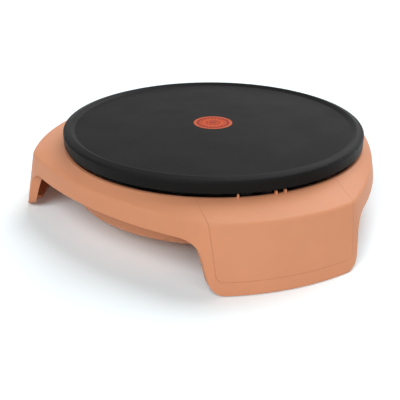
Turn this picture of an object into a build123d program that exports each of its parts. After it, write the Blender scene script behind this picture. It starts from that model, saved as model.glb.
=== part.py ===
"""Electric crepe maker: a round cast plate that lifts off a plastic base with three wide legs.

Millimetres, +Z up. The origin is on the table, at the middle of the base's footprint box.
The front leg, which carries the trim panel, points along -Y.
Compass angles are measured around the plate's axis, from the front leg towards +X.
"""

import os
from math import atan2, cos, degrees, radians, sin, sqrt, tan

from build123d import *

os.makedirs("parts", exist_ok=True)

# ------------------------------------------------------------------ clearances
seat_gap = 0.3          # under or around a piece that is set in place
screw_gap = 0.3         # radial, around a screw's shank
trim_gap = 0.2          # seam around the trim panel

# --------------------------------------------------------------- cooking plate
plate_radius = 167.5
plate_skirt_depth = 14.3
plate_skirt_wall = 4.0
plate_thickness = 5.0
rim_rise = 3.0          # rim above the cooking surface
rim_inset = 8.3         # rim's narrow crest, in from the plate's edge
rim_slope_run = 4.6     # slope between the cooking surface and the crest
rim_flat = 1.2
rim_edge_drop = 2.4     # plate's edge, below the crest
rim_round = 0.6
plate_edge_round = 2.4  # between the rim's shoulder and the skirt
skirt_corner_round = 3.0
spot_radius = 21.9
spot_thickness = 0.5
socket_depth = 3.2

# ----------------------------------------------------------------- base shell
leg_count = 3
wall = 3.2
base_top = 74.7         # inner edge of the top slope
plate_lift_gap = 5.0    # open gap between the plate's skirt and the base
slope_step = 0.5        # top slope's inner edge, out from the plate's edge
slope_drop = 8.7        # down the top slope, from its inner edge to the crease
waist_run = 10.3        # out along the top slope, between the legs
lobe_rise = 22.8        # further out over the legs
lobe_flatness = 30.0    # a lobe's arc is this much flatter than a circle about the plate's axis
lobe_arc_angle = 15.5   # that arc's half, in degrees at its own centre
lobe_corner_round = 41.5
crease_round = 4.5      # where the top slope turns into the side wall
wall_flare = 11.25      # side wall, degrees out of the vertical
leg_bottom = 0.8        # the wall ends just above the table
leg_half_width_top = 81.6
leg_half_width_bottom = 74.0
leg_corner_round = 15.0
leg_root_round = 16.0
leg_return_reach = 4.6  # edge of a leg turned inwards, measured from the wall's inner face
leg_return_thickness = 2.6
skirt_depth = 17.0      # skirt between the legs, below the crease
shelf_drop = 10.7       # top of the inner shelf, below the base's top
shelf_thickness = 3.0
shelf_width = 22.8
gusset_thickness = 2.2
gusset_spread = 20.0    # degrees either side of each leg's middle
gusset_drop = 12.0      # how far a gusset reaches below the shelf at the leg
stop_rib_width = 1.8
stop_rib_height = 3.6
stop_rib_angles = (-12.0, 0.6, 3.9)

# --------------------------------------------------------------- trim panel
panel_side_top = 9.6    # leg left beside the panel, at the crease
panel_side_bottom = 5.5
panel_bottom = 13.5
panel_corner_round = 6.0
panel_thickness = 1.6
panel_land = 1.0        # shell left between the panel and the plate's edge
peg_radius = 2.2
peg_reach = 1.5         # how far a peg stands out behind the wall
peg_side = 48.0
peg_rise = 10.5         # lower pegs above the panel's lower edge
peg_drop = 16.0         # upper pegs below the crease

# ----------------------------------------------------------------- foot pads
pad_length = 24.0
pad_width = 6.0
pad_thickness = 2.0
pad_spread = 9.0        # degrees either side of a leg's middle
ledge_thickness = 3.2
ledge_width = 10.0
ledge_half_length = 50.0

# ----------------------------------------------------------------- bottom tub
tub_inset = 3.8         # tub's top edge, in from the outside of the shelf
tub_draft = 1.4         # top edge's radius less the bottom's
tub_depth = 41.3        # tub's underside below the shelf
tub_wall = 2.8
tub_corner_round = 6.0
tub_screw_count = 6
tub_screw_angle = 30.0
tub_post_radius = 6.0
tub_post_inset = 12.0   # post's middle, in from the tub's top edge
well_radius = 4.2       # screwdriver well up each post
well_depth = 22.0
boss_radius = 5.0       # under the shelf, above each post
boss_depth = 8.0
vent_length = 34.0
vent_width = 3.2
vent_pitch = 10.0
vent_count = 5
vent_ring = 105.0
label_length = 60.0
label_width = 34.0
label_depth = 0.5
rib_ring_radius = 80.0
rib_ring_height = 3.0
rib_ring_width = 2.0

# ------------------------------------------------------------- support posts
post_radius = 4.5
post_inset = 6.0        # post's middle, in from the reflector's edge
post_count = 3
post_pin_radius = 2.5
post_pin_height = 2.8
post_thread_depth = 8.0

# ----------------------------------------------------------------- reflector
sheet = 0.8
reflector_inset = 6.8   # reflector's edge, in from the collar around it
reflector_rim = 8.0
reflector_screw_inset = 11.0

# ----------------------------------------------------------- heating element
element_inset = 67.5    # element's ring, in from the plate's edge
element_radius = 3.25
element_gap = 0.4       # under the plate
element_opening = 32.0  # degrees left open at the back
element_bend = 14.0
cold_end_clear = 20.25  # cold end's tip above the tub's floor
bushing_radius = 6.0
bushing_flange = 8.0
bushing_flange_height = 2.0
bushing_reach = 4.0     # below the reflector
bracket_count = 3
bracket_width = 10.0
bracket_sheet = 1.2
bracket_foot = 15.0
bracket_inset = 6.0     # saddle's reach inside the element's ring
tab_length = 9.0
tab_width = 6.3
tab_thickness = 0.8
spade_length = 12.0
spade_width = 8.4
spade_depth = 3.4

# -------------------------------------------------------------- plate sensor
sensor_travel = 2.5
cup_radius = 11.2
cup_wall = 1.2
cup_height = 11.6
cup_flange_radius = 12.9
holder_bore = 13.1
holder_wall = 1.5
holder_flange_radius = 21.0
holder_sheet = 1.2
holder_throat = 6.0     # hole in its floor, for the leads
holder_screw_ring = 17.8
capsule_radius = 9.6
capsule_height = 6.2
capsule_neck = 1.2      # height of the boss that its leads leave by
lead_radius = 1.2
lead_spread = 3.0
lead_length = 28.0
spring_radius = 11.9
spring_wire_radius = 0.45
spring_turns = 4.5
sleeve_radius = 2.3
sleeve_length = 14.0

# -------------------------------------------------------------------- wiring
wire_radius = 1.2
wire_insert = 4.5       # how far a wire reaches into the terminal block
block_length = 38.0
block_width = 18.0
block_height = 15.0
block_pitch = 12.0
block_clear = 27.5      # terminal block's middle, in from the gland's seat
port_radius = 2.2
port_height = 8.0
clamp_screw_radius = 1.5
fuse_radius = 3.0
fuse_length = 18.0
fuse_side = 30.0
fuse_ring = 54.0
clip_width = 8.0
link_rise_start = 15.0  # behind the plate's axis, where the link turns up to the fuse
link_rise_end = 30.0
earth_side = 50.0
earth_ring = 80.0
ring_terminal_radius = 5.0
ring_terminal_offset = 3.2

# ---------------------------------------------------------------- cord gland
gland_rise = 18.3       # gland's axis above the tub's underside
gland_bore_radius = 3.6
gland_body_radius = 6.5
gland_flange_radius = 9.5
gland_flange_thickness = 2.5
gland_seat_step = 0.5   # flat seat's outer face, out from the tub's top edge
gland_seat_depth = 6.0
gland_seat_half_width = 13.0

# -------------------------------------------------------------------- screws
screw_radius = 1.75
screw_head_radius = 3.4
screw_head_height = 2.2
housing_screw_length = 20.5
post_screw_length = 10.0
small_screw_radius = 1.25
small_head_radius = 2.5
small_head_height = 1.6
small_screw_length = 5.0
drive_radius = 1.1      # round-bottomed recess in a screw's head
drive_depth = 0.9

# ------------------------------------------------------------- derived sizes
leg_step = 360.0 / leg_count
flare = tan(radians(wall_flare))
slope_inner_radius = plate_radius + slope_step
waist_radius = slope_inner_radius + waist_run
lobe_radius = waist_radius + lobe_rise
lobe_arc_radius = lobe_radius + lobe_flatness
crease_height = base_top - slope_drop
skirt_height = crease_height - skirt_depth
shelf_height = base_top - shelf_drop
front_reach = lobe_radius + flare * (crease_height - leg_bottom)
back_reach = waist_radius + flare * (crease_height - skirt_height)
axis_back = (front_reach - back_reach) / 2    # plate's axis behind the origin
plate_skirt_bottom = base_top + plate_lift_gap
plate_top = plate_skirt_bottom + plate_skirt_depth
cook_surface = plate_top - rim_rise
plate_underside = cook_surface - plate_thickness
rim_radius = plate_radius - rim_inset
shelf_bottom = shelf_height - shelf_thickness
collar_radius = slope_inner_radius - wall
shelf_inner_radius = collar_radius - shelf_width
reflector_radius = collar_radius - reflector_inset
reflector_screw_ring = reflector_radius - reflector_screw_inset
post_ring = reflector_radius - post_inset
element_ring = plate_radius - element_inset
panel_half_width_top = leg_half_width_top - panel_side_top
panel_half_width_bottom = leg_half_width_bottom - panel_side_bottom
peg_heights = (panel_bottom + peg_rise, crease_height - peg_drop)
tub_top_radius = collar_radius - tub_inset
tub_bottom_radius = tub_top_radius - tub_draft
tub_post_ring = tub_top_radius - tub_post_inset
tub_bottom = shelf_bottom - tub_depth
tub_floor = tub_bottom + tub_wall
gland_height = tub_bottom + gland_rise
gland_seat_outer = tub_top_radius + gland_seat_step
gland_seat_inner = gland_seat_outer - gland_seat_depth
block_ring = gland_seat_inner - block_clear
reflector_top = shelf_height + sheet
element_height = plate_underside - element_gap - element_radius
cold_end_bottom = tub_floor + cold_end_clear
tub_top = shelf_bottom - seat_gap
boss_bottom = shelf_bottom - boss_depth
screw_seat = tub_bottom + well_depth
cup_top = plate_underside - seat_gap
cup_bottom = cup_top - cup_height
holder_lip_bottom = cup_bottom + cup_wall + seat_gap
holder_floor = reflector_top + holder_sheet
capsule_top = cup_top - cup_wall - seat_gap
lead_bottom = capsule_top - capsule_height - lead_length
sleeve_bore_bottom = lead_bottom - sensor_travel - seat_gap
sleeve_top = lead_bottom + seat_gap + sensor_travel
sleeve_bottom = sleeve_top - sleeve_length
far = 2 * front_reach    # longer than any piece
hair = 0.01              # how closely an edge is looked for


# ------------------------------------------------------------------- helpers
def polar(radius, angle, height=0.0):
    """A point at a radius and compass angle, as a level plane on the plate's axis counts it."""
    return Vector(radius * sin(radians(angle)), -radius * cos(radians(angle)), height)


def on_part(x, y, height):
    """A point of the part, from the plate's axis and the table."""
    return Vector(x, axis_back + y, height)


def level(height, angle=0.0, radius=0.0):
    """The level plane at a height, with its origin at a radius and compass angle, -Y outwards."""
    place = polar(radius, angle)
    along = (cos(radians(angle)), sin(radians(angle)), 0)
    return Plane(on_part(place.X, place.Y, height), x_dir=along, z_dir=(0, 0, 1))


def upright(angle=0.0, radius=0.0):
    """The vertical plane that faces outwards at a compass angle: X level and Y up."""
    place = polar(radius, angle)
    along = (cos(radians(angle)), sin(radians(angle)), 0)
    outwards = (sin(radians(angle)), -cos(radians(angle)), 0)
    return Plane(on_part(place.X, place.Y, 0), x_dir=along, z_dir=outwards)


def section(angle=0.0):
    """The vertical plane through the plate's axis at a compass angle: X outwards and Y up."""
    outwards = (sin(radians(angle)), -cos(radians(angle)), 0)
    sideways = (-cos(radians(angle)), -sin(radians(angle)), 0)
    return Plane(on_part(0, 0, 0), x_dir=outwards, z_dir=sideways)


plate_axis = Axis(tuple(on_part(0, 0, 0)), (0, 0, 1))


def around(radius, count, first=0.0):
    """Places on a circle of a level plane, the first at a compass angle."""
    return PolarLocations(radius, count, start_angle=first - 90)


def outline_joints(offset):
    """Where a lobe's arc meets its corner, and the corner the flatter side: radii and angles."""
    half_step = radians(leg_step / 2)
    turn = radians(lobe_arc_angle)
    towards_waist = Vector(cos(half_step), sin(half_step))
    towards_corner = Vector(cos(turn), sin(turn))
    lobe_centre = Vector(-lobe_flatness, 0)
    corner_centre = lobe_centre + towards_corner * (lobe_arc_radius - lobe_corner_round)
    along = corner_centre.dot(towards_waist)
    spare = corner_centre.length**2 - along**2
    room = waist_radius - along
    side_radius = (spare + room**2 - lobe_corner_round**2) / (2 * (room - lobe_corner_round))
    side_centre = towards_waist * (waist_radius - side_radius)
    towards_side = (corner_centre - side_centre).normalized()
    lobe_end = lobe_centre + towards_corner * (lobe_arc_radius + offset)
    side_start = corner_centre + towards_side * (lobe_corner_round + offset)
    corner_middle = corner_centre + (towards_corner + towards_side).normalized() * (
        lobe_corner_round + offset
    )
    return [
        (place.length, degrees(atan2(place.Y, place.X)))
        for place in (lobe_end, corner_middle, side_start)
    ]


def lobed_outline(offset):
    """Lines of the base's outline at the crease, moved outwards by an offset."""
    lobe_end, corner, side_start = outline_joints(offset)
    for leg in range(leg_count):
        middle = leg * leg_step
        following = middle + leg_step
        ThreePointArc(
            polar(lobe_end[0], middle - lobe_end[1]),
            polar(lobe_radius + offset, middle),
            polar(lobe_end[0], middle + lobe_end[1]),
        )
        ThreePointArc(*[polar(place[0], middle + place[1]) for place in (lobe_end, corner, side_start)])
        ThreePointArc(
            polar(side_start[0], middle + side_start[1]),
            polar(waist_radius + offset, middle + leg_step / 2),
            polar(side_start[0], following - side_start[1]),
        )
        ThreePointArc(*[polar(place[0], following - place[1]) for place in (side_start, corner, lobe_end)])


def split_circle(radius):
    """Lines of a circle with its joints where the base's outline has them."""
    lobe_end, corner, side_start = [place[1] for place in outline_joints(0.0)]
    for leg in range(leg_count):
        middle = leg * leg_step
        following = middle + leg_step
        for angles in (
            (middle - lobe_end, middle, middle + lobe_end),
            (middle + lobe_end, middle + corner, middle + side_start),
            (middle + side_start, middle + leg_step / 2, following - side_start),
            (following - side_start, following - corner, following - lobe_end),
        ):
            ThreePointArc(*[polar(radius, angle) for angle in angles])


def base_form(inset, low):
    """The solid inside the base's outer surface, moved inwards by an inset, from height low up."""
    lean = radians(wall_flare)
    steep = atan2(slope_drop, waist_run)
    shallow = atan2(slope_drop, waist_run + lobe_rise)
    crease_drop = inset * (cos(lean) - sin(shallow)) / cos(lean + shallow)
    crease = crease_height - crease_drop
    offset = flare * crease_drop - inset / cos(lean)
    with BuildPart() as form:
        with BuildSketch(level(crease)):
            with BuildLine():
                lobed_outline(offset)
            make_face()
        extrude(amount=low - crease, taper=-wall_flare)
        with BuildSketch(level(crease)):
            with BuildLine():
                lobed_outline(offset)
            make_face()
        with BuildSketch(level(base_top - inset / cos(steep))):
            with BuildLine():
                split_circle(slope_inner_radius)
            make_face()
        loft(ruled=True)
        if crease_round > inset:
            creases = form.edges().filter_by_position(Axis.Z, crease - hair, crease + hair)
            fillet(creases, crease_round - inset)
    return form.part


def leg_profile():
    """Face of a leg seen from outside, opening out at the top into the skirt above it."""
    side = leg_half_width_top + 2 * leg_root_round
    with BuildSketch() as profile:
        with BuildLine():
            Polyline(
                (-side, base_top),
                (-side, skirt_height),
                (-leg_half_width_top, skirt_height),
                (-leg_half_width_bottom, leg_bottom),
                (leg_half_width_bottom, leg_bottom),
                (leg_half_width_top, skirt_height),
                (side, skirt_height),
                (side, base_top),
                close=True,
            )
        make_face()
        fillet(profile.vertices().group_by(Axis.Y)[0], leg_corner_round)
        roots = profile.vertices().filter_by_position(Axis.X, 1 - side, side - 1)
        fillet(roots.group_by(Axis.Y)[-1], leg_root_round)
    return profile.sketch


def panel_profile(grow):
    """Outline of the trim panel seen from the front, grown by a seam, up past the plate."""
    with BuildSketch() as profile:
        with BuildLine():
            Polyline(
                (-panel_half_width_top - grow, plate_top),
                (-panel_half_width_top - grow, crease_height),
                (-panel_half_width_bottom - grow, panel_bottom - grow),
                (panel_half_width_bottom + grow, panel_bottom - grow),
                (panel_half_width_top + grow, crease_height),
                (panel_half_width_top + grow, plate_top),
                close=True,
            )
        make_face()
        fillet(profile.vertices().group_by(Axis.Y)[0], panel_corner_round + grow)
    return profile.sketch


def panel_space(grow, inset):
    """Everything in front of the plate's edge, inside the panel's outline and outside an inset form."""
    profile = panel_profile(grow)
    inside = base_form(inset, leg_bottom)
    with BuildPart() as space:
        with BuildSketch(upright()):
            add(profile)
        extrude(amount=far)
        with BuildSketch(level(0)):
            Circle(slope_inner_radius + panel_land - grow)
        extrude(amount=far, mode=Mode.SUBTRACT)
        add(inside, mode=Mode.SUBTRACT)
    return space.part


def wall_arc_radius(height):
    """Radius of a lobe's outer wall at a height, around the lobe's own centre."""
    return lobe_arc_radius + flare * (crease_height - height)


def wall_reach(side, height):
    """How far out a lobe's outer wall stands, at a distance beside its middle."""
    return sqrt(wall_arc_radius(height) ** 2 - side**2) - lobe_flatness


def wall_radius(angle, height):
    """Distance from the plate's axis to a lobe's outer wall, at an angle from its middle."""
    along = lobe_flatness * cos(radians(angle))
    across = lobe_flatness * sin(radians(angle))
    return sqrt(wall_arc_radius(height) ** 2 - across**2) - along


def screws(places, seat, length, size, toward=1):
    """Pan-head screws: the head stands above its seat, or below it where toward is -1."""
    shank_radius, head_radius, head_height = size
    with BuildPart() as screw:
        with BuildSketch(level(seat)):
            with Locations(places):
                Circle(head_radius)
        extrude(amount=toward * head_height)
        with BuildSketch(level(seat)):
            with Locations(places):
                Circle(shank_radius)
        extrude(amount=-toward * length)
        with BuildSketch(level(seat + toward * head_height)):
            with Locations(places):
                Circle(drive_radius)
        extrude(amount=-toward * drive_depth, mode=Mode.SUBTRACT)
    return screw.part


def ring_places(radius, count, first=0.0):
    """Points on a circle of a level plane, the first at a compass angle."""
    return [polar(radius, first + index * 360.0 / count) for index in range(count)]


def wire_along(points, bend, radius=wire_radius):
    """A round wire through points, with its corners bent."""
    with BuildPart() as wire:
        with BuildLine() as route:
            FilletPolyline(*[on_part(*point) for point in points], radius=bend)
        with BuildSketch(Plane(route.line @ 0, z_dir=route.line % 0)):
            Circle(radius)
        sweep(path=route.line)
    return wire.part


def pad_places(grow):
    """Foot pads as rounded bars, two under each leg."""
    wall_run = (wall + ledge_width / 2) / cos(radians(wall_flare))
    pad_ring = wall_radius(pad_spread, leg_bottom) - wall_run
    with BuildSketch() as pads:
        for leg in range(leg_count):
            for side in (-pad_spread, pad_spread):
                angle = leg * leg_step + side
                place = polar(pad_ring, angle)
                with Locations(Location(place, (0, 0, angle))):
                    SlotOverall(pad_length + 2 * grow, pad_width + 2 * grow)
    return pads.sketch


# -------------------------------------------------------------- cooking plate
with BuildPart() as cooking_plate:
    with BuildSketch(section()) as plate_profile:
        with BuildLine():
            Polyline(
                (0, plate_underside),
                (0, cook_surface),
                (rim_radius - rim_slope_run, cook_surface),
                (rim_radius, plate_top),
                (rim_radius + rim_flat, plate_top),
                (plate_radius, plate_top - rim_edge_drop),
                (plate_radius, plate_skirt_bottom),
                (plate_radius - plate_skirt_wall, plate_skirt_bottom),
                (plate_radius - plate_skirt_wall, plate_underside),
                close=True,
            )
        make_face()
        crest = plate_profile.vertices().group_by(Axis.Y)[-1]
        fillet(crest, rim_round)
        plate_edge = plate_profile.vertices().sort_by_distance(
            (plate_radius, plate_top - rim_edge_drop)
        )[0]
        fillet(plate_edge, plate_edge_round)
        inner_corner = plate_profile.vertices().sort_by_distance(
            (plate_radius - plate_skirt_wall, plate_underside)
        )[0]
        fillet(inner_corner, skirt_corner_round)
    revolve(axis=plate_axis)
    with BuildSketch(level(cook_surface)):
        Circle(spot_radius)
    extrude(amount=-spot_thickness, mode=Mode.SUBTRACT)
    with BuildSketch(level(plate_underside)):
        with around(post_ring, post_count):
            Circle(post_pin_radius + seat_gap)
    extrude(amount=socket_depth, mode=Mode.SUBTRACT)
cooking_plate.part.label = "cooking_plate"
export_step(cooking_plate.part, "parts/cooking_plate.step")

with BuildPart() as heat_indicator:
    with BuildSketch(level(cook_surface)):
        Circle(spot_radius)
    extrude(amount=-spot_thickness)
heat_indicator.part.label = "heat_indicator"
export_step(heat_indicator.part, "parts/heat_indicator.step")

# ----------------------------------------------------------------- base shell
outer_form = base_form(0.0, leg_bottom)
inner_form = base_form(wall, leg_bottom)
return_form = base_form(wall + leg_return_reach, leg_bottom)
ledge_form = base_form(wall + ledge_width, leg_bottom)
leg_face = leg_profile()
panel_recess = panel_space(trim_gap, panel_thickness + trim_gap)
panel_front = panel_space(0.0, panel_thickness)
pad_recess = pad_places(seat_gap)
pad_face = pad_places(0.0)

with BuildPart() as kept_space:
    with BuildSketch(level(skirt_height)):
        Circle(far)
    extrude(amount=plate_top)
    for leg in range(leg_count):
        with BuildSketch(upright(leg * leg_step)):
            add(leg_face)
        extrude(amount=far)

with BuildPart() as gussets:
    for leg in range(leg_count):
        for side in (-gusset_spread, gusset_spread):
            with BuildSketch(section(leg * leg_step + side)):
                with BuildLine():
                    Polyline(
                        (slope_inner_radius - wall / 2, shelf_bottom),
                        (slope_inner_radius - wall / 2, base_top),
                        (front_reach, base_top),
                        (front_reach, shelf_bottom - gusset_drop),
                        close=True,
                    )
                make_face()
            extrude(amount=gusset_thickness / 2, both=True)
    add(inner_form, mode=Mode.INTERSECT)

with BuildPart() as leg_returns:
    for leg in range(leg_count):
        for side in (-1, 1):
            bottom = side * leg_half_width_bottom
            top = side * leg_half_width_top
            with BuildSketch(upright(leg * leg_step)):
                with BuildLine():
                    Polyline(
                        (bottom - leg_return_thickness, leg_bottom),
                        (top - leg_return_thickness, skirt_height),
                        (top - leg_return_thickness, base_top),
                        (top + leg_return_thickness, base_top),
                        (top + leg_return_thickness, skirt_height),
                        (bottom + leg_return_thickness, leg_bottom),
                        close=True,
                    )
                make_face()
            extrude(amount=far)
    add(return_form, mode=Mode.SUBTRACT)

with BuildPart() as cavity:
    add(inner_form)
    add(leg_returns.part, mode=Mode.SUBTRACT)

with BuildPart() as foot_ledges:
    for leg in range(leg_count):
        with BuildSketch(level(leg_bottom, leg * leg_step, front_reach)):
            Rectangle(2 * ledge_half_length, front_reach)
        extrude(amount=ledge_thickness)
    add(inner_form, mode=Mode.INTERSECT)
    add(ledge_form, mode=Mode.SUBTRACT)


with BuildPart() as shell_walls:
    add(outer_form)
    add(panel_recess, mode=Mode.SUBTRACT)
    add(cavity.part, mode=Mode.SUBTRACT)
    add(kept_space.part, mode=Mode.INTERSECT)
    with BuildSketch(level(shelf_height)):
        Circle(collar_radius)
    extrude(amount=plate_top, mode=Mode.SUBTRACT)
    with BuildSketch(section()):
        with BuildLine():
            Polyline(
                (shelf_inner_radius, shelf_bottom),
                (shelf_inner_radius, shelf_height),
                (collar_radius, shelf_height),
                (collar_radius, base_top),
                (slope_inner_radius, base_top),
                (slope_inner_radius, shelf_bottom),
                close=True,
            )
        make_face()
    revolve(axis=plate_axis)
    add(gussets.part)
    add(foot_ledges.part)

with BuildPart() as base_shell:
    add(shell_walls.part)
    with BuildSketch(level(base_top)):
        for leg in range(leg_count):
            for side in stop_rib_angles:
                angle = leg * leg_step + side
                with Locations(Location(polar(slope_inner_radius - wall / 2, angle), (0, 0, angle))):
                    Rectangle(stop_rib_width, wall)
    extrude(amount=stop_rib_height)
    with BuildSketch(level(shelf_bottom)):
        with around(tub_post_ring, tub_screw_count, tub_screw_angle):
            Circle(boss_radius)
    extrude(amount=-boss_depth)
    with BuildSketch(level(shelf_height)):
        with around(tub_post_ring, tub_screw_count, tub_screw_angle):
            Circle(screw_radius + screw_gap)
        with around(post_ring, post_count):
            Circle(screw_radius + screw_gap)
        with around(reflector_screw_ring, post_count, leg_step / 2):
            Circle(small_screw_radius + screw_gap)
    extrude(amount=boss_bottom - shelf_height, mode=Mode.SUBTRACT)
    with BuildSketch(level(leg_bottom)):
        add(pad_recess)
    extrude(amount=pad_thickness - leg_bottom, mode=Mode.SUBTRACT)
    for side in (-peg_side, peg_side):
        for height in peg_heights:
            with BuildSketch(upright(0.0, wall_reach(side, height) - 2 * wall)):
                with Locations((side, height)):
                    Circle(peg_radius + seat_gap)
            extrude(amount=3 * wall, mode=Mode.SUBTRACT)
base_shell.part.label = "base_shell"
export_step(base_shell.part, "parts/base_shell.step")

with BuildPart() as front_panel:
    add(outer_form)
    add(panel_front, mode=Mode.INTERSECT)
    for side in (-peg_side, peg_side):
        for height in peg_heights:
            peg_base = wall_reach(side, height) - panel_thickness / 2
            with BuildSketch(upright(0.0, peg_base)):
                with Locations((side, height)):
                    Circle(peg_radius)
            extrude(amount=-(wall + peg_reach))
front_panel.part.label = "front_panel"
export_step(front_panel.part, "parts/front_panel.step")

with BuildPart() as foot_pads:
    with BuildSketch(level(0)):
        add(pad_face)
    extrude(amount=pad_thickness)
foot_pads.part.label = "foot_pads"
export_step(foot_pads.part, "parts/foot_pads.step")

# ----------------------------------------------------------------- bottom tub
with BuildPart() as bottom_tub:
    with BuildSketch(section()) as tub_profile:
        with BuildLine():
            Polyline(
                (0, tub_bottom),
                (tub_bottom_radius, tub_bottom),
                (tub_top_radius, tub_top),
                (tub_top_radius - tub_wall, tub_top),
                (tub_bottom_radius - tub_wall, tub_floor),
                (0, tub_floor),
                close=True,
            )
        make_face()
        fillet(tub_profile.vertices().group_by(Axis.Y)[0].sort_by(Axis.X)[-1], tub_corner_round)
        inner_corner = tub_profile.vertices().sort_by_distance(
            (tub_bottom_radius - tub_wall, tub_floor)
        )[0]
        fillet(inner_corner, tub_corner_round - tub_wall)
    revolve(axis=plate_axis)
    with BuildSketch(level(tub_bottom + tub_wall / 2)):
        with around(tub_post_ring, tub_screw_count, tub_screw_angle):
            Circle(tub_post_radius)
    extrude(amount=boss_bottom - seat_gap - tub_bottom - tub_wall / 2)
    with BuildSketch(level(tub_bottom)):
        with around(tub_post_ring, tub_screw_count, tub_screw_angle):
            Circle(well_radius)
    extrude(amount=well_depth, mode=Mode.SUBTRACT)
    with BuildSketch(level(tub_bottom)):
        with around(tub_post_ring, tub_screw_count, tub_screw_angle):
            Circle(screw_radius + screw_gap)
    extrude(amount=tub_top, mode=Mode.SUBTRACT)
    with BuildSketch(level(tub_floor)):
        Circle(rib_ring_radius + rib_ring_width)
        Circle(rib_ring_radius, mode=Mode.SUBTRACT)
    extrude(amount=rib_ring_height)
    for leg in range(leg_count):
        with BuildSketch(level(tub_bottom, leg * leg_step, vent_ring)):
            with GridLocations(0, vent_pitch, 1, vent_count):
                SlotOverall(vent_length, vent_width)
        extrude(amount=tub_wall, mode=Mode.SUBTRACT)
    with BuildSketch(level(tub_bottom)):
        RectangleRounded(label_length, label_width, tub_wall)
    extrude(amount=label_depth, mode=Mode.SUBTRACT)
    with BuildSketch(level(gland_height - gland_seat_half_width, 180.0)):
        with Locations((0, -(gland_seat_inner + gland_seat_outer) / 2)):
            Rectangle(2 * gland_seat_half_width, gland_seat_outer - gland_seat_inner)
    extrude(amount=2 * gland_seat_half_width)
    with BuildSketch(upright(180.0, gland_seat_inner)):
        with Locations((0, gland_height)):
            Circle(gland_body_radius + seat_gap)
    extrude(amount=gland_seat_outer, mode=Mode.SUBTRACT)
    with BuildSketch(level(tub_floor, 180.0, block_ring)):
        with GridLocations(block_pitch, 0, 2, 1):
            Circle(small_screw_radius + screw_gap)
    extrude(amount=-tub_wall, mode=Mode.SUBTRACT)
bottom_tub.part.label = "bottom_tub"
export_step(bottom_tub.part, "parts/bottom_tub.step")

with BuildPart() as cord_gland:
    flange_gap = seat_gap / 2
    with BuildSketch(upright(180.0, gland_seat_inner - flange_gap - gland_flange_thickness)):
        with Locations((0, gland_height)):
            Circle(gland_flange_radius)
    extrude(amount=gland_flange_thickness)
    with BuildSketch(upright(180.0, gland_seat_inner - flange_gap)):
        with Locations((0, gland_height)):
            Circle(gland_body_radius)
    extrude(amount=gland_seat_outer - gland_seat_inner + 2 * flange_gap)
    with BuildSketch(upright(180.0, gland_seat_outer + flange_gap)):
        with Locations((0, gland_height)):
            Circle(gland_flange_radius)
    extrude(amount=gland_flange_thickness)
    with BuildSketch(upright(180.0, tub_bottom_radius / 2)):
        with Locations((0, gland_height)):
            Circle(gland_bore_radius)
    extrude(amount=tub_bottom_radius, mode=Mode.SUBTRACT)
cord_gland.part.label = "cord_gland"
export_step(cord_gland.part, "parts/cord_gland.step")

# ------------------------------------------------------------- support posts
post_top = plate_underside - seat_gap
with BuildPart() as support_posts:
    with BuildSketch(level(shelf_height)):
        with around(post_ring, post_count):
            Circle(post_radius)
    extrude(amount=post_top - shelf_height)
    with BuildSketch(level(post_top)):
        with around(post_ring, post_count):
            Circle(post_pin_radius)
    extrude(amount=post_pin_height)
    with BuildSketch(level(shelf_height)):
        with around(post_ring, post_count):
            Circle(screw_radius + seat_gap / 2)
    extrude(amount=post_thread_depth, mode=Mode.SUBTRACT)
support_posts.part.label = "support_posts"
export_step(support_posts.part, "parts/support_posts.step")

# ------------------------------------------------- reflector and heating element
cold_end_x = element_ring * sin(radians(element_opening / 2))
cold_end_x -= element_bend * cos(radians(element_opening / 2))
cold_end_y = element_ring * cos(radians(element_opening / 2))
cold_end_y += element_bend * sin(radians(element_opening / 2))
cold_ends = [(side * cold_end_x, cold_end_y) for side in (-1, 1)]
bracket_screws_ring = element_ring + bracket_foot - bracket_width / 2
holder_screw_places = ring_places(holder_screw_ring, bracket_count, leg_step / 2)
bracket_screw_places = ring_places(bracket_screws_ring, bracket_count)
reflector_screw_places = ring_places(reflector_screw_ring, post_count, leg_step / 2)

with BuildPart() as reflector:
    with BuildSketch(level(shelf_height)):
        Circle(reflector_radius)
    extrude(amount=reflector_rim)
    with BuildSketch(level(reflector_top)):
        Circle(reflector_radius - sheet)
    extrude(amount=reflector_rim, mode=Mode.SUBTRACT)
    with BuildSketch(level(shelf_height)):
        Circle(holder_throat)
        with around(post_ring, post_count):
            Circle(post_radius + seat_gap)
        with Locations(cold_ends):
            Circle(bushing_radius + seat_gap)
        small_holes = holder_screw_places + bracket_screw_places + reflector_screw_places
        with Locations(small_holes, (-earth_side, earth_ring)):
            Circle(small_screw_radius + screw_gap)
    extrude(amount=sheet, mode=Mode.SUBTRACT)
reflector.part.label = "reflector"
export_step(reflector.part, "parts/reflector.step")

with BuildPart() as heating_element:
    with BuildLine() as element_route:
        ends = [180.0 + side * element_opening / 2 for side in (-1, 1)]
        first = polar(element_ring, ends[0]) + on_part(0, 0, element_height)
        last = polar(element_ring, ends[1]) + on_part(0, 0, element_height)
        front = polar(element_ring, 0) + on_part(0, 0, element_height)
        lean = 1 - sqrt(0.5)
        for tip, (end_x, end_y) in ((first, cold_ends[1]), (last, cold_ends[0])):
            below = on_part(end_x, end_y, element_height - element_bend)
            along = Vector(below.X - tip.X, below.Y - tip.Y, 0)
            middle = tip + along * (1 - lean) - Vector(0, 0, element_bend * lean)
            ThreePointArc(tip, middle, below)
            Line(below, on_part(end_x, end_y, cold_end_bottom))
        ThreePointArc(first, front, last)
    element_wire = element_route.wire()
    with BuildSketch(Plane(element_wire @ 0, z_dir=element_wire % 0)):
        Circle(element_radius)
    sweep(path=element_wire)
heating_element.part.label = "heating_element"
export_step(heating_element.part, "parts/heating_element.step")

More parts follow.
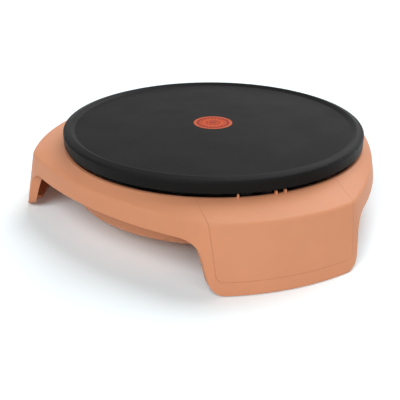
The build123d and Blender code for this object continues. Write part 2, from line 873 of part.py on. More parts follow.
with BuildPart() as element_bushings:
    with BuildSketch(level(reflector_top)):
        with Locations(cold_ends):
            Circle(bushing_flange)
    extrude(amount=bushing_flange_height)
    with BuildSketch(level(reflector_top)):
        with Locations(cold_ends):
            Circle(bushing_radius)
    extrude(amount=-(sheet + bushing_reach))
    with BuildSketch(level(reflector_top + bushing_flange_height)):
        with Locations(cold_ends):
            Circle(element_radius + seat_gap)
    extrude(amount=-shelf_height, mode=Mode.SUBTRACT)
element_bushings.part.label = "element_bushings"
export_step(element_bushings.part, "parts/element_bushings.step")

with BuildPart() as element_brackets:
    saddle_top = element_height - element_radius - seat_gap
    riser = element_ring + element_radius
    for index in range(bracket_count):
        with BuildSketch(section(index * leg_step)):
            with BuildLine():
                Polyline(
                    (element_ring - bracket_inset, saddle_top),
                    (riser + bracket_sheet, saddle_top),
                    (riser + bracket_sheet, reflector_top + bracket_sheet),
                    (element_ring + bracket_foot, reflector_top + bracket_sheet),
                    (element_ring + bracket_foot, reflector_top),
                    (riser, reflector_top),
                    (riser, saddle_top - bracket_sheet),
                    (element_ring - bracket_inset, saddle_top - bracket_sheet),
                    close=True,
                )
            make_face()
        extrude(amount=bracket_width / 2, both=True)
    with BuildSketch(level(reflector_top)):
        with Locations(bracket_screw_places):
            Circle(small_screw_radius + screw_gap)
    extrude(amount=bracket_sheet, mode=Mode.SUBTRACT)
element_brackets.part.label = "element_brackets"
export_step(element_brackets.part, "parts/element_brackets.step")

with BuildPart() as element_tabs:
    with BuildSketch(level(cold_end_bottom)):
        with Locations(cold_ends):
            Rectangle(tab_width, tab_thickness)
    extrude(amount=-tab_length)
element_tabs.part.label = "element_tabs"
export_step(element_tabs.part, "parts/element_tabs.step")

spade_top = cold_end_bottom - 2 * seat_gap
with BuildPart() as spade_connectors:
    with BuildSketch(level(spade_top)):
        with Locations(cold_ends):
            Rectangle(spade_width, spade_depth)
    extrude(amount=-spade_length)
    with BuildSketch(level(spade_top)):
        with Locations(cold_ends):
            Rectangle(tab_width + 2 * seat_gap, tab_thickness + 2 * seat_gap)
    extrude(amount=-tab_length, mode=Mode.SUBTRACT)
spade_connectors.part.label = "spade_connectors"
export_step(spade_connectors.part, "parts/spade_connectors.step")

# -------------------------------------------------------------- plate sensor
holder_top = holder_lip_bottom + holder_sheet
with BuildPart() as sensor_holder:
    with BuildSketch(section()):
        with BuildLine():
            Polyline(
                (holder_throat, reflector_top),
                (holder_flange_radius, reflector_top),
                (holder_flange_radius, holder_floor),
                (holder_bore + holder_wall, holder_floor),
                (holder_bore + holder_wall, holder_top),
                (cup_radius + seat_gap, holder_top),
                (cup_radius + seat_gap, holder_lip_bottom),
                (holder_bore, holder_lip_bottom),
                (holder_bore, holder_floor),
                (holder_throat, holder_floor),
                close=True,
            )
        make_face()
    revolve(axis=plate_axis)
    with BuildSketch(level(reflector_top)):
        with Locations(holder_screw_places):
            Circle(small_screw_radius + screw_gap)
    extrude(amount=holder_sheet, mode=Mode.SUBTRACT)
sensor_holder.part.label = "sensor_holder"
export_step(sensor_holder.part, "parts/sensor_holder.step")

with BuildPart() as sensor_cup:
    with BuildSketch(section()):
        with BuildLine():
            Polyline(
                (0, cup_top),
                (cup_radius, cup_top),
                (cup_radius, cup_bottom + cup_wall),
                (cup_flange_radius, cup_bottom + cup_wall),
                (cup_flange_radius, cup_bottom),
                (cup_radius - cup_wall, cup_bottom),
                (cup_radius - cup_wall, cup_top - cup_wall),
                (0, cup_top - cup_wall),
                close=True,
            )
        make_face()
    revolve(axis=plate_axis)
sensor_cup.part.label = "sensor_cup"
export_step(sensor_cup.part, "parts/sensor_cup.step")

lead_places = [(-lead_spread, 0), (lead_spread, 0)]
with BuildPart() as thermostat_capsule:
    with BuildSketch(level(capsule_top)):
        Circle(capsule_radius)
    extrude(amount=-capsule_height)
    with BuildSketch(level(capsule_top - capsule_height)):
        Circle(capsule_radius / 2)
    extrude(amount=-capsule_neck)
thermostat_capsule.part.label = "thermostat_capsule"
export_step(thermostat_capsule.part, "parts/thermostat_capsule.step")

with BuildPart() as sensor_leads:
    with BuildSketch(level(capsule_top - capsule_height - capsule_neck)):
        with Locations(lead_places):
            Circle(lead_radius)
    extrude(amount=-(lead_length - capsule_neck))
sensor_leads.part.label = "sensor_leads"
export_step(sensor_leads.part, "parts/sensor_leads.step")

with BuildPart() as crimp_sleeves:
    with BuildSketch(level(sleeve_bottom)):
        with Locations(lead_places):
            Circle(sleeve_radius)
    extrude(amount=sleeve_length)
    with BuildSketch(level(sleeve_bore_bottom)):
        with Locations(lead_places):
            Circle(lead_radius + seat_gap)
    extrude(amount=sleeve_length, mode=Mode.SUBTRACT)
crimp_sleeves.part.label = "crimp_sleeves"
export_step(crimp_sleeves.part, "parts/crimp_sleeves.step")

spring_bottom = holder_floor + spring_wire_radius
spring_height = cup_bottom - holder_floor - 2 * spring_wire_radius - seat_gap
with BuildPart() as sensor_spring:
    with BuildLine() as coil:
        Helix(
            pitch=spring_height / spring_turns,
            height=spring_height,
            radius=spring_radius,
            center=tuple(on_part(0, 0, spring_bottom)),
        )
    with BuildSketch(Plane(coil.line @ 0, z_dir=coil.line % 0)):
        Circle(spring_wire_radius)
    sweep(path=coil.line, is_frenet=True)
sensor_spring.part.label = "sensor_spring"
export_step(sensor_spring.part, "parts/sensor_spring.step")

# -------------------------------------------------------------------- wiring
port_level = tub_floor + port_height
with BuildPart() as terminal_block:
    with BuildSketch(level(tub_floor, 180.0, block_ring)):
        Rectangle(block_length, block_width)
    extrude(amount=block_height)
    with BuildSketch(upright(180.0, block_ring)):
        with Locations((0, port_level)):
            with GridLocations(block_pitch, 0, 3, 1):
                Circle(port_radius)
    extrude(amount=block_width, both=True, mode=Mode.SUBTRACT)
    with BuildSketch(level(port_level, 180.0, block_ring)):
        with GridLocations(block_pitch, 0, 3, 1):
            Circle(clamp_screw_radius + screw_gap / 2)
    extrude(amount=block_height, mode=Mode.SUBTRACT)
    with BuildSketch(level(tub_floor, 180.0, block_ring)):
        with GridLocations(block_pitch, 0, 2, 1):
            Circle(small_screw_radius + screw_gap)
    extrude(amount=block_height, mode=Mode.SUBTRACT)
terminal_block.part.label = "terminal_block"
export_step(terminal_block.part, "parts/terminal_block.step")

with BuildPart() as clamp_screws:
    with BuildSketch(level(port_level + wire_radius + seat_gap, 180.0, block_ring)):
        with GridLocations(block_pitch, 0, 3, 1):
            Circle(clamp_screw_radius)
    extrude(amount=block_height - port_height - wire_radius - 2 * seat_gap)
clamp_screws.part.label = "clamp_screws"
export_step(clamp_screws.part, "parts/clamp_screws.step")

spade_bottom = spade_top - spade_length
clip_bottom = shelf_height - sheet
fuse_height = clip_bottom - seat_gap - fuse_radius
tight_bend = 2 * wire_radius
easy_bend = 4 * wire_radius
wire_low = tub_floor + 2 * wire_radius
wire_step = 8 * wire_radius      # straight run before an easy bend
wire_end = block_ring - block_width / 2 + wire_insert
wire_clear = block_ring - block_width
fuse_near = fuse_ring - fuse_length / 2
fuse_far = fuse_ring + fuse_length / 2
earth_foot = earth_side - ring_terminal_offset

neutral_wire = wire_along(
    [
        (block_pitch, wire_end, port_level),
        (block_pitch, wire_clear, port_level - wire_radius),
        (cold_end_x, cold_end_y, wire_low),
        (cold_end_x, cold_end_y, spade_bottom),
    ],
    tight_bend,
)
neutral_wire.label = "neutral_wire"
export_step(neutral_wire, "parts/neutral_wire.step")

live_wire = wire_along(
    [
        (0, wire_end, port_level),
        (0, wire_clear, port_level - wire_radius),
        (2 * lead_spread, block_ring / 2, wire_low + rib_ring_height),
        (lead_spread, 0, wire_low + rib_ring_height + 2 * wire_radius),
        (lead_spread, 0, sleeve_bottom),
    ],
    easy_bend,
)
live_wire.label = "live_wire"
export_step(live_wire, "parts/live_wire.step")

sensor_link = wire_along(
    [
        (-lead_spread, 0, sleeve_bottom),
        (-lead_spread, 0, sleeve_bottom - wire_step),
        (-fuse_side, link_rise_start, sleeve_bottom),
        (-fuse_side, link_rise_end, fuse_height),
        (-fuse_side, fuse_near, fuse_height),
    ],
    easy_bend,
)
fuse_link = wire_along(
    [
        (-fuse_side, fuse_far, fuse_height),
        (-fuse_side, fuse_far + wire_step, fuse_height),
        (-fuse_side, cold_end_y, cold_end_bottom),
        (-fuse_side, cold_end_y, wire_low),
        (-cold_end_x, cold_end_y, wire_low),
        (-cold_end_x, cold_end_y, spade_bottom),
    ],
    tight_bend,
)
with BuildPart() as link_wires:
    add(sensor_link)
    add(fuse_link)
link_wires.part.label = "link_wires"
export_step(link_wires.part, "parts/link_wires.step")

earth_wire = wire_along(
    [
        (-block_pitch, wire_end, port_level),
        (-block_pitch, wire_clear, port_level - wire_radius),
        (-earth_foot, wire_clear, port_level + easy_bend),
        (-earth_foot, earth_ring, sleeve_bottom),
        (-earth_foot, earth_ring, clip_bottom),
    ],
    easy_bend,
)
earth_wire.label = "earth_wire"
export_step(earth_wire, "parts/earth_wire.step")

with BuildPart() as ring_terminal:
    with BuildSketch(level(clip_bottom)):
        with Locations((-earth_side, earth_ring)):
            Circle(ring_terminal_radius)
            Circle(small_screw_radius + screw_gap, mode=Mode.SUBTRACT)
    extrude(amount=sheet)
ring_terminal.part.label = "ring_terminal"
export_step(ring_terminal.part, "parts/ring_terminal.step")

with BuildPart() as thermal_fuse:
    with BuildSketch(upright(180.0, fuse_near)):
        with Locations((fuse_side, fuse_height)):
            Circle(fuse_radius)
    extrude(amount=fuse_length)
thermal_fuse.part.label = "thermal_fuse"
export_step(thermal_fuse.part, "parts/thermal_fuse.step")

with BuildPart() as fuse_clip:
    with BuildSketch(upright(180.0, fuse_ring)):
        with Locations((fuse_side, fuse_height)):
            Circle(fuse_radius + seat_gap + sheet)
            Circle(fuse_radius + seat_gap, mode=Mode.SUBTRACT)
        with Locations((fuse_side, clip_bottom + sheet / 2)):
            Rectangle(4 * fuse_radius, sheet)
    extrude(amount=clip_width / 2, both=True)
fuse_clip.part.label = "fuse_clip"
export_step(fuse_clip.part, "parts/fuse_clip.step")

# -------------------------------------------------------------------- screws
large_screw = (screw_radius, screw_head_radius, screw_head_height)
small_screw = (small_screw_radius, small_head_radius, small_head_height)
housing_places = ring_places(tub_post_ring, tub_screw_count, tub_screw_angle)
post_places = ring_places(post_ring, post_count)

screw_sets = {
    "housing_screws": screws(housing_places, screw_seat, housing_screw_length, large_screw, -1),
    "post_screws": screws(post_places, shelf_bottom, post_screw_length, large_screw, -1),
    "reflector_screws": screws(
        reflector_screw_places, reflector_top, small_screw_length, small_screw
    ),
    "bracket_screws": screws(
        bracket_screw_places, reflector_top + bracket_sheet, small_screw_length, small_screw
    ),
    "holder_screws": screws(holder_screw_places, holder_floor, small_screw_length, small_screw),
    "block_screws": screws(
        [(side * block_pitch / 2, block_ring) for side in (-1, 1)],
        tub_floor + block_height,
        block_height + tub_wall - seat_gap,
        small_screw,
    ),
    "earth_screw": screws(
        [(-earth_side, earth_ring)], reflector_top, small_screw_length, small_screw
    ),
}
for name, screw_set in screw_sets.items():
    screw_set.label = name
    export_step(screw_set, f"parts/{name}.step")
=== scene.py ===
"""The looks of an electric crepe maker, dressed over its packed construction.

Metres, +Z up. The front leg points along -Y, and the origin is on the table.
"""

import math

import bmesh
import bpy
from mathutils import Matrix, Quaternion, Vector


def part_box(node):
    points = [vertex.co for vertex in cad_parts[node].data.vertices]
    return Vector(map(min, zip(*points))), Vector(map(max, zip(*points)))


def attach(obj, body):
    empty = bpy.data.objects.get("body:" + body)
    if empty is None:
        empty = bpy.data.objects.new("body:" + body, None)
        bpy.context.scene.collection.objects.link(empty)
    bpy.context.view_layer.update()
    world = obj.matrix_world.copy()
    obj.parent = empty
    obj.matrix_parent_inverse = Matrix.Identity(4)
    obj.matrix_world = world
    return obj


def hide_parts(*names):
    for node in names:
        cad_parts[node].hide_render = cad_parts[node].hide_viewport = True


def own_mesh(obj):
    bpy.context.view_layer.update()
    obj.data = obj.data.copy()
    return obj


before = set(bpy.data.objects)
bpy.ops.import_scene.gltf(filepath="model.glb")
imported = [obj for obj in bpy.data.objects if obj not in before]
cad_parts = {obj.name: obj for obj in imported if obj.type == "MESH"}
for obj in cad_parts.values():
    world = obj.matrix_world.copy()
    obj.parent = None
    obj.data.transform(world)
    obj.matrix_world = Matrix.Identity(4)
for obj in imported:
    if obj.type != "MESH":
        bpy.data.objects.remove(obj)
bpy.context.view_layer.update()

# ------------------------------------------------------------- places taken from the frame
plate_low, plate_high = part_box("cooking_plate")
spot_low, spot_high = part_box("heat_indicator")
spring_low, spring_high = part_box("sensor_spring")
plate_middle = (plate_low + plate_high) / 2  # on the plate's axis, at half its height
spot_radius = (spot_high.x - spot_low.x) / 2
spring_radius = (spring_high.x - spring_low.x) / 2

# ---------------------------------------------------------------- the sensor's coil spring
wire_radius = 0.00045
coil_turns = 4.5
end_turns = 0.75                             # turns that lie nearly flat, at each end
end_climb = 2.2 * wire_radius                # what they climb, so that the wire clears itself
turn_steps = 48                              # rings of vertices to a turn
wire_sides = 12

# ------------------------------------------------------------ camera, floor, room and lamps
camera_place = Vector((-0.2392, -0.6353, 0.3264))
camera_gaze = Vector((0.2929, 0.8526, -0.4329))
camera_roll = math.radians(0.14)             # turned about its gaze
camera_lens = 57.6                           # millimetres
sensor_width = 36.0                          # millimetres
floor_half = 8.0                             # half of the floor's side
floor_lit = (0.86, 0.86, 0.86, 1)            # what the floor throws back on the object
floor_shown = (1.16, 1.27, 1.31, 1)          # what is seen of it: white wherever it lies in the light
room_white = (1.0, 1.0, 1.0, 1)
room_light = 0.05                            # strength with which the room lights the object
room_backdrop = 1.0                          # strength with which the room is seen
lamp_spread = 45                             # degrees across, for soft shadows
lamps = {                                    # bearing and elevation in degrees, then strength
    "front_light": (10, 15, 0.92),
    "left_light": (-50, 45, 1.58),
    "back_light": (130, 50, 1.90),
}


# ------------------------------------------------------------------------ shader helpers
def set_socket(tree, socket, value):
    """Gives an input its value, or joins another node's output to it."""
    if isinstance(value, bpy.types.NodeSocket):
        tree.links.new(value, socket)
    else:
        socket.default_value = value


def of_kind(sockets, kind):
    """The sockets of one kind, from a node that has a set of them for each kind."""
    return [socket for socket in sockets if socket.type == kind]


def add_node(tree, kind, inputs=None, **settings):
    """A shader node with its settings, and its inputs given as numbers or as other nodes' outputs."""
    node = tree.nodes.new("ShaderNode" + kind)
    for name, value in settings.items():
        setattr(node, name, value)
    for name, value in (inputs or {}).items():
        set_socket(tree, node.inputs[name], value)
    return node


def math_node(tree, operation, *values, clamp=False):
    """One step of arithmetic on numbers or outputs."""
    node = add_node(tree, "Math", dict(enumerate(values)), operation=operation, use_clamp=clamp)
    return node.outputs[0]


def ramp_between(tree, value, low, high, to_low=0.0, to_high=1.0, smooth=True):
    """Carries a value from one range to another, held at its ends."""
    kind = "SMOOTHSTEP" if smooth else "LINEAR"
    inputs = {"Value": value, "From Min": low, "From Max": high, "To Min": to_low, "To Max": to_high}
    return add_node(tree, "MapRange", inputs, interpolation_type=kind).outputs["Result"]


def blend_colours(tree, amount, first, second):
    """The first colour where the amount is 0, and the second where it is 1."""
    node = add_node(tree, "Mix", {"Factor": amount}, data_type="RGBA")
    for socket, colour in zip(of_kind(node.inputs, "RGBA"), (first, second)):
        set_socket(tree, socket, colour)
    return of_kind(node.outputs, "RGBA")[0]


def noise(tree, place, scale, detail, roughness):
    """A noise from 0 to 1 that changes from place to place."""
    inputs = {"Vector": place, "Scale": scale, "Detail": detail, "Roughness": roughness}
    return add_node(tree, "TexNoise", inputs).outputs["Fac"]


def from_plate_axis(tree):
    """A point's place from the plate's middle: its parts, and its distance from the plate's axis."""
    place = add_node(tree, "TexCoord").outputs["Object"]
    middle = add_node(tree, "VectorMath", {0: place, 1: plate_middle}, operation="SUBTRACT").outputs[0]
    parts = add_node(tree, "SeparateXYZ", {0: middle}).outputs
    squares = [math_node(tree, "MULTIPLY", parts[side], parts[side]) for side in ("X", "Y")]
    return parts, math_node(tree, "SQRT", math_node(tree, "ADD", *squares))


def surface_bump(tree, height, depth):
    """A normal that rises and falls with a height from 0 to 1, to a depth in metres."""
    return add_node(tree, "Bump", {"Height": height, "Distance": depth, "Strength": 1.0}).outputs[0]


def new_group(name, takes, gives):
    """An empty node group with named inputs and outputs. Returns it, its inputs and its output node."""
    group = bpy.data.node_groups.new(name, "ShaderNodeTree")
    for label, (kind, value) in takes.items():
        socket = group.interface.new_socket(label, in_out="INPUT", socket_type="NodeSocket" + kind)
        socket.default_value = value
    for label, kind in gives.items():
        group.interface.new_socket(label, in_out="OUTPUT", socket_type="NodeSocket" + kind)
    inside = group.nodes.new("NodeGroupInput").outputs
    outside = group.nodes.new("NodeGroupOutput")
    return group, inside, outside


def use_group(tree, group, **values):
    """Places a node group in a material. Values are given by their input's name, with _ for a space."""
    node = tree.nodes.new("ShaderNodeGroup")
    node.node_tree = group
    for name, value in values.items():
        set_socket(tree, node.inputs[name.replace("_", " ")], value)
    return node.outputs


def new_material(name, **constants):
    """A material with one Principled BSDF. Returns the material and its tree."""
    material = bpy.data.materials.new(name)
    material.use_nodes = True
    tree = material.node_tree
    inputs = tree.nodes["Principled BSDF"].inputs
    for label, value in constants.items():
        inputs[label.replace("_", " ")].default_value = value
    return material, tree


def connect(tree, **pairs):
    """Joins outputs to the Principled BSDF's inputs, named with _ for a space."""
    inputs = tree.nodes["Principled BSDF"].inputs
    for label, output in pairs.items():
        tree.links.new(output, inputs[label.replace("_", " ")])


# ------------------------------------------------------------------------------ colours
def linear_light(step):
    """A step from 0 to 255 of a screen's colour, as linear light."""
    share = step / 255
    return share / 12.92 if share <= 0.04045 else ((share + 0.055) / 1.055) ** 2.4


def rgb(red, green, blue):
    """A colour given in the 0 to 255 steps of a screen, as linear light."""
    return (*[linear_light(step) for step in (red, green, blue)], 1)


def shade(colour, share):
    """A colour made paler or deeper, by a share of its light."""
    return (*[min(1.0, part * share) for part in colour[:3]], 1)


# -------------------------------------------------------------------------- node groups
speck_edge = (0.05, 0.22)                    # where a speck fades, in cells from its middle
streaks_per_metre = 60.0


def make_grain_group():
    """Fine moulded or sprayed grain with small specks, and a slow mottle under it."""
    takes = {"Grain Size": ("Float", 0.0006), "Mottle Size": ("Float", 0.03)}
    gives = {"Height": "Float", "Mottle": "Float", "Specks": "Float"}
    group, inside, outside = new_group("surface_grain", takes, gives)
    place = add_node(group, "TexCoord").outputs["Object"]
    fine = math_node(group, "DIVIDE", 1.0, inside["Grain Size"])
    slow = math_node(group, "DIVIDE", 1.0, inside["Mottle Size"])
    grain = noise(group, place, fine, detail=3.0, roughness=0.6)
    mottle = noise(group, place, slow, detail=4.0, roughness=0.55)
    cells = add_node(group, "TexVoronoi", {"Vector": place, "Scale": fine})
    specks = ramp_between(group, cells.outputs["Distance"], *speck_edge, 1.0, 0.0)
    group.links.new(grain, outside.inputs["Height"])
    group.links.new(mottle, outside.inputs["Mottle"])
    group.links.new(specks, outside.inputs["Specks"])
    return group


def make_lay_group():
    """Fine lines and streaks round the plate's axis. Where Lines is 0, the metal is plain."""
    takes = {"Line Width": ("Float", 0.0004), "Lines": ("Float", 1.0)}
    gives = {"Height": "Float", "Streaks": "Float"}
    group, inside, outside = new_group("metal_lay", takes, gives)
    parts, radius = from_plate_axis(group)
    turned = add_node(group, "CombineXYZ", {"X": radius, "Y": 0.0, "Z": parts["Z"]}).outputs[0]
    scaled = {0: turned, "Scale": inside["Lines"]}
    place = add_node(group, "VectorMath", scaled, operation="SCALE").outputs[0]
    lines_per_metre = math_node(group, "DIVIDE", 1.0, inside["Line Width"])
    lines = noise(group, place, lines_per_metre, detail=2.0, roughness=0.7)
    streaks = noise(group, place, streaks_per_metre, detail=3.0, roughness=0.6)
    group.links.new(lines, outside.inputs["Height"])
    group.links.new(streaks, outside.inputs["Streaks"])
    return group


grain_group = make_grain_group()
lay_group = make_lay_group()

# --------------------------------------------------------------------- finishes' values
noise_wide = (0.2, 0.8)                      # ranges of a noise, over which a finish changes
noise_middle = (0.3, 0.7)
noise_narrow = (0.35, 0.65)

plastic_ior = 1.35
plastic_colour_drift = 0.05                  # share of its light, paler and deeper
plastic_drift = (-0.05, 0.06)                # how far each finish's roughness drifts
metal_drift = (-0.06, 0.08)
insulator_drift = (-0.06, 0.06)

coating_ior = 1.15
face_level = (0.90, 0.99)                    # Z of the normal, from the rim's curve to the level face
crest_coat_and_sheen = (0.0016, 0.0008)                 # below the rim's top, where the rim's paler coat begins: partly its own finish, partly a painted sheen line along the crest
face_black = (rgb(16, 16, 16), rgb(22, 22, 22))
# rim and wall coat, paler than the face: partly its own sleeker finish, partly painted sheen
rim_black_and_sheen = rgb(25, 25, 25)
fleck_grey = rgb(110, 110, 112)
fleck_strength = 0.10
face_roughness = (0.58, 0.64)
rim_roughness = (0.46, 0.52)
pebble_depth = 0.000018

print_edge = 0.0002                          # half the width over which a printed edge fades
print_ground = rgb(158, 44, 8)
print_rings = (                              # edges as shares of the spot's radius, then the colour
    (0.22, 0.72, rgb(206, 78, 22)),
    (0.72, 0.86, rgb(150, 30, 4)),
    (0.86, 1.10, rgb(204, 92, 48)),
    (0.30, 0.38, rgb(150, 38, 8)),
)
mark_count = 20
mark_sides = (0.2, 0.5)                      # of a wave round the spot, from gap to mark
mark_ring = (0.56, 0.68)
mark_colour = rgb(140, 30, 6)
wear_range = (0.4, 0.8)                      # of the mottle
wear_most = 0.12
wear_colour = rgb(60, 30, 24)
print_roughness = (0.34, 0.44)
print_depth = 0.000012

tarnish = 0.82                               # light left where a metal without a tint is dull
tarnish_range = (0.42, 0.68)                 # of the mottle
lay_depth = 0.000015


def around(middle, drift):
    """A range, from its middle and how far it drifts each way."""
    return [middle + step for step in drift]


# ---------------------------------------------------------------------------- materials
def moulded_plastic(name, colour, roughness, grain_size, grain_depth):
    """Fine-textured moulded plastic: a soft sheen, and a colour that drifts very slightly."""
    material, tree = new_material(name, IOR=plastic_ior)
    grain = use_group(tree, grain_group, Grain_Size=grain_size, Mottle_Size=0.035)
    pale = shade(colour, 1 + plastic_colour_drift)
    deep = shade(colour, 1 - plastic_colour_drift)
    connect(
        tree,
        Base_Color=blend_colours(tree, grain["Mottle"], deep, pale),
        Roughness=ramp_between(tree, grain["Height"], *noise_wide, *around(roughness, plastic_drift)),
        Normal=surface_bump(tree, grain["Height"], grain_depth),
    )
    return material


def nonstick_coating():
    """Baked-on black coating, finely pebbled: matt on the cooking face, sleeker and paler on rim and wall,
    the paleness partly painted sheen.
    """
    material, tree = new_material("nonstick_coating", IOR=coating_ior)
    grain = use_group(tree, grain_group, Grain_Size=0.0011, Mottle_Size=0.05)
    facing = add_node(tree, "SeparateXYZ", {0: add_node(tree, "NewGeometry").outputs["Normal"]}).outputs["Z"]
    height = add_node(tree, "SeparateXYZ", {0: add_node(tree, "TexCoord").outputs["Object"]}).outputs["Z"]
    level = ramp_between(tree, facing, *face_level)
    crest = ramp_between(tree, height, *[plate_high.z - drop for drop in crest_coat_and_sheen])
    cooking = math_node(tree, "MULTIPLY", level, math_node(tree, "SUBTRACT", 1.0, crest))
    flecks = math_node(tree, "MULTIPLY", grain["Specks"], fleck_strength)
    face = blend_colours(tree, grain["Mottle"], *face_black)
    flecked = blend_colours(tree, flecks, face, fleck_grey)
    matt = ramp_between(tree, grain["Mottle"], *noise_middle, *face_roughness)
    sleek = ramp_between(tree, grain["Mottle"], *noise_middle, *rim_roughness)
    connect(
        tree,
        # rim, crest and wall take the paler black, which is partly painted sheen
        Base_Color=blend_colours(tree, cooking, rim_black_and_sheen, flecked),
        Roughness=ramp_between(tree, cooking, 0.0, 1.0, sleek, matt, smooth=False),
        Normal=surface_bump(tree, grain["Height"], pebble_depth),
    )
    return material


def heat_spot_print():
    """Orange-red heat indicator: plain rings, with a circle of short marks, very slightly worn."""
    material, tree = new_material("heat_spot_print", IOR=coating_ior)
    parts, radius = from_plate_axis(tree)
    angle = math_node(tree, "ARCTAN2", parts["Y"], parts["X"])

    def ring(inner, outer):
        """Mask of a ring, given by its edges as shares of the spot's radius."""
        inside, outside = inner * spot_radius, outer * spot_radius
        start = ramp_between(tree, radius, inside - print_edge, inside + print_edge)
        stop = ramp_between(tree, radius, outside - print_edge, outside + print_edge, 1.0, 0.0)
        return math_node(tree, "MULTIPLY", start, stop)

    colour = print_ground
    for inner, outer, paint in print_rings:
        colour = blend_colours(tree, ring(inner, outer), colour, paint)
    wave = math_node(tree, "SINE", math_node(tree, "MULTIPLY", angle, mark_count))
    marks = math_node(tree, "MULTIPLY", ramp_between(tree, wave, *mark_sides), ring(*mark_ring))
    colour = blend_colours(tree, marks, colour, mark_colour)
    grain = use_group(tree, grain_group, Grain_Size=0.0011, Mottle_Size=0.02)
    wear = ramp_between(tree, grain["Mottle"], *wear_range, 0.0, wear_most)
    connect(
        tree,
        Base_Color=blend_colours(tree, wear, colour, wear_colour),
        Roughness=ramp_between(tree, grain["Mottle"], *noise_middle, *print_roughness),
        Normal=surface_bump(tree, grain["Height"], print_depth),
    )
    return material


def metal(name, colour, roughness, tint=None, lines=1.0):
    """Bare sheet or wire, with fine lines unless it is plain, and a slow change of tone."""
    material, tree = new_material(name, Metallic=1.0)
    lay = use_group(tree, lay_group, Line_Width=0.0005, Lines=lines)
    grain = use_group(tree, grain_group, Grain_Size=0.0015, Mottle_Size=0.018)
    second = tint or shade(colour, tarnish)
    tone = ramp_between(tree, grain["Mottle"], *tarnish_range)
    connect(
        tree,
        Base_Color=blend_colours(tree, tone, colour, second),
        Roughness=ramp_between(tree, lay["Streaks"], *noise_middle, *around(roughness, metal_drift)),
        Normal=surface_bump(tree, lay["Height"], lay_depth),
    )
    return material


def insulator(name, colour, second, roughness, grain_size, grain_depth):
    """Rubber, ceramic, nylon, dark plastic or a wire's cover, mottled between two colours."""
    material, tree = new_material(name)
    grain = use_group(tree, grain_group, Grain_Size=grain_size, Mottle_Size=0.012)
    tone = ramp_between(tree, grain["Mottle"], *noise_narrow)
    connect(
        tree,
        Base_Color=blend_colours(tree, tone, colour, second),
        Roughness=ramp_between(tree, grain["Height"], *noise_wide, *around(roughness, insulator_drift)),
        Normal=surface_bump(tree, grain["Height"], grain_depth),
    )
    return material


nonstick = nonstick_coating()
spot_print = heat_spot_print()

# The plastic: its colour, its roughness, and its grain's size and depth.
shell_plastic = moulded_plastic("shell_plastic", rgb(219, 149, 110), 0.50, 0.0007, 0.000012)

# Metals: colour and roughness.
bright_aluminium = metal("bright_aluminium", rgb(216, 216, 218), 0.26, lines=0.0)
pressed_aluminium = metal("pressed_aluminium", rgb(206, 206, 208), 0.34)
zinc_steel = metal("zinc_steel", rgb(190, 191, 196), 0.3, tint=rgb(176, 172, 150))
element_sheath = metal("element_sheath", rgb(116, 110, 104), 0.42, tint=rgb(92, 74, 62))
spring_steel = metal("spring_steel", rgb(168, 170, 174), 0.24)
tinned_brass = metal("tinned_brass", rgb(214, 186, 112), 0.28)

# Insulators: two colours, roughness, and their grain's size and depth.
black_rubber = insulator("black_rubber", rgb(30, 30, 31), rgb(42, 42, 43), 0.72, 0.0005, 0.00002)
brown_ceramic = insulator("brown_ceramic", rgb(58, 47, 42), rgb(70, 57, 50), 0.5, 0.0008, 0.00001)
white_ceramic = insulator("white_ceramic", rgb(232, 228, 214), rgb(222, 216, 200), 0.5, 0.0008, 0.00001)
black_plastic = insulator("black_plastic", rgb(36, 36, 38), rgb(44, 44, 46), 0.42, 0.0006, 0.00001)
pale_nylon = insulator("pale_nylon", rgb(228, 226, 214), rgb(218, 216, 204), 0.4, 0.0007, 0.000008)
blue_cover = insulator("blue_cover", rgb(40, 92, 168), rgb(34, 80, 150), 0.38, 0.0005, 0.000006)
brown_cover = insulator("brown_cover", rgb(110, 66, 40), rgb(96, 58, 36), 0.38, 0.0005, 0.000006)
earth_cover = insulator("earth_cover", rgb(120, 168, 44), rgb(196, 190, 40), 0.38, 0.0005, 0.000006)
white_sleeve = insulator("white_sleeve", rgb(226, 222, 206), rgb(212, 206, 188), 0.66, 0.0004, 0.00003)

finishes = {
    nonstick: ["cooking_plate"],
    spot_print: ["heat_indicator"],
    shell_plastic: ["base_shell", "front_panel", "bottom_tub"],
    black_rubber: ["foot_pads", "cord_gland"],
    bright_aluminium: ["reflector"],
    pressed_aluminium: ["sensor_cup"],
    zinc_steel: [
        "element_brackets",
        "sensor_holder",
        "fuse_clip",
        "post_screws",
        "reflector_screws",
        "bracket_screws",
        "holder_screws",
        "housing_screws",
        "block_screws",
        "clamp_screws",
        "earth_screw",
    ],
    element_sheath: ["heating_element"],
    tinned_brass: ["element_tabs", "spade_connectors", "ring_terminal", "thermal_fuse"],
    brown_ceramic: ["support_posts"],
    white_ceramic: ["element_bushings"],
    black_plastic: ["thermostat_capsule"],
    pale_nylon: ["terminal_block"],
    blue_cover: ["neutral_wire"],
    brown_cover: ["live_wire"],
    earth_cover: ["earth_wire"],
    white_sleeve: ["link_wires", "sensor_leads", "crimp_sleeves"],
}
for finish, names in finishes.items():
    for name in names:
        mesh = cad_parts[name].data
        mesh.materials.clear()
        mesh.materials.append(finish)


# ---------------------------------------------------------------- the sensor's coil spring
def coil_point(turn):
    """A point of the wire's middle line, after so many turns. The end turns lie nearly flat."""
    share = (turn - end_turns) / (coil_turns - 2 * end_turns)
    bottom = spring_low.z + wire_radius
    top = spring_high.z - wire_radius
    if share < 0:
        height = bottom + end_climb * turn / end_turns
    elif share > 1:
        height = top - end_climb * (coil_turns - turn) / end_turns
    else:
        height = bottom + end_climb + (top - bottom - 2 * end_climb) * share
    reach = spring_radius - wire_radius
    x = plate_middle.x + reach * math.cos(math.tau * turn)
    y = plate_middle.y + reach * math.sin(math.tau * turn)
    return Vector((x, y, height))


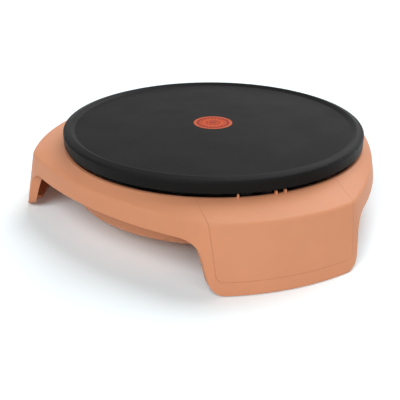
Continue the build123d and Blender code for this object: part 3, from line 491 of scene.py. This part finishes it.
def wire_ring(shape, turn):
    """The vertices of one ring round the wire, after so many turns."""
    middle = coil_point(turn)
    outward = Vector((math.cos(math.tau * turn), math.sin(math.tau * turn), 0))
    vertices = []
    for side in range(wire_sides):
        angle = math.tau * side / wire_sides
        offset = outward * math.cos(angle) * wire_radius + Vector((0, 0, math.sin(angle) * wire_radius))
        vertices.append(shape.verts.new(middle + offset))
    return vertices


def make_spring():
    """A round wire wound as a compression spring, at one length; on the real object it shortens as the plate
    presses the sensor down.
    """
    mesh = bpy.data.meshes.new("coil_spring")
    shape = bmesh.new()
    steps = int(coil_turns * turn_steps)
    rings = [wire_ring(shape, step / turn_steps) for step in range(steps + 1)]
    for lower, upper in zip(rings, rings[1:]):
        for side in range(wire_sides):
            after = (side + 1) % wire_sides
            shape.faces.new((lower[side], lower[after], upper[after], upper[side]))
    shape.faces.new(rings[0][::-1])
    shape.faces.new(rings[-1])
    bmesh.ops.recalc_face_normals(shape, faces=shape.faces)
    shape.to_mesh(mesh)
    shape.free()
    for face in mesh.polygons:
        face.use_smooth = len(face.vertices) < wire_sides    # all but the wire's two ends
    mesh.materials.append(spring_steel)
    spring = bpy.data.objects.new("coil_spring", mesh)
    bpy.context.scene.collection.objects.link(spring)
    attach(spring, "base")
    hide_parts("sensor_spring")
    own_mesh(spring)


# ------------------------------------------------------------------------------- studio
def make_camera():
    """The camera, at its place, along its gaze and turned by its roll."""
    data = bpy.data.cameras.new("studio_camera")
    data.lens = camera_lens
    data.sensor_width = sensor_width
    camera = bpy.data.objects.new("studio_camera", data)
    bpy.context.scene.collection.objects.link(camera)
    camera.rotation_mode = "QUATERNION"
    camera.location = camera_place
    level = camera_gaze.to_track_quat("-Z", "Y")
    camera.rotation_quaternion = Quaternion(camera_gaze, -camera_roll) @ level
    bpy.context.scene.camera = camera


def make_floor():
    """Plain white table, which keeps the object's shadow."""
    mesh = bpy.data.meshes.new("studio_floor")
    corners = [(x * floor_half, y * floor_half, 0.0) for x, y in ((-1, -1), (1, -1), (1, 1), (-1, 1))]
    mesh.from_pydata(corners, [], [(0, 1, 2, 3)])
    floor = bpy.data.objects.new("studio_floor", mesh)
    bpy.context.scene.collection.objects.link(floor)
    material = bpy.data.materials.new("studio_floor")
    material.use_nodes = True
    tree = material.node_tree
    tree.nodes.clear()
    path = add_node(tree, "LightPath").outputs
    seen = math_node(tree, "ADD", path["Is Camera Ray"], path["Is Glossy Ray"], clamp=True)
    shown = blend_colours(tree, seen, floor_lit, floor_shown)
    diffuse = add_node(tree, "BsdfDiffuse", {"Color": shown}).outputs[0]
    output = add_node(tree, "OutputMaterial")
    tree.links.new(diffuse, output.inputs["Surface"])
    mesh.materials.append(material)


def make_room():
    """Even pale room light, with a white backdrop where the camera or a gloss looks at it."""
    world = bpy.data.worlds.new("studio_room")
    bpy.context.scene.world = world
    world.use_nodes = True
    tree = world.node_tree
    path = add_node(tree, "LightPath").outputs
    seen = math_node(tree, "ADD", path["Is Camera Ray"], path["Is Glossy Ray"])
    shown = math_node(tree, "ADD", seen, path["Is Transmission Ray"], clamp=True)
    strength = ramp_between(tree, shown, 0.0, 1.0, room_light, room_backdrop, smooth=False)
    background = tree.nodes["Background"]
    background.inputs["Color"].default_value = room_white
    tree.links.new(strength, background.inputs["Strength"])


def make_lamp(name, bearing, elevation, strength):
    """A soft far light. Its bearing runs from the front, -Y, towards the right, +X."""
    data = bpy.data.lights.new(name, "SUN")
    data.energy = strength
    data.angle = math.radians(lamp_spread)
    lamp = bpy.data.objects.new(name, data)
    bpy.context.scene.collection.objects.link(lamp)
    turn, rise = math.radians(bearing), math.radians(elevation)
    source = Vector((math.sin(turn) * math.cos(rise), -math.cos(turn) * math.cos(rise), math.sin(rise)))
    lamp.rotation_mode = "QUATERNION"
    lamp.rotation_quaternion = (-source).to_track_quat("-Z", "Y")


make_spring()
make_camera()
make_floor()
make_room()
for name, (bearing, elevation, strength) in lamps.items():
    make_lamp(name, bearing, elevation, strength)
bpy.context.scene.view_settings.view_transform = "Standard"
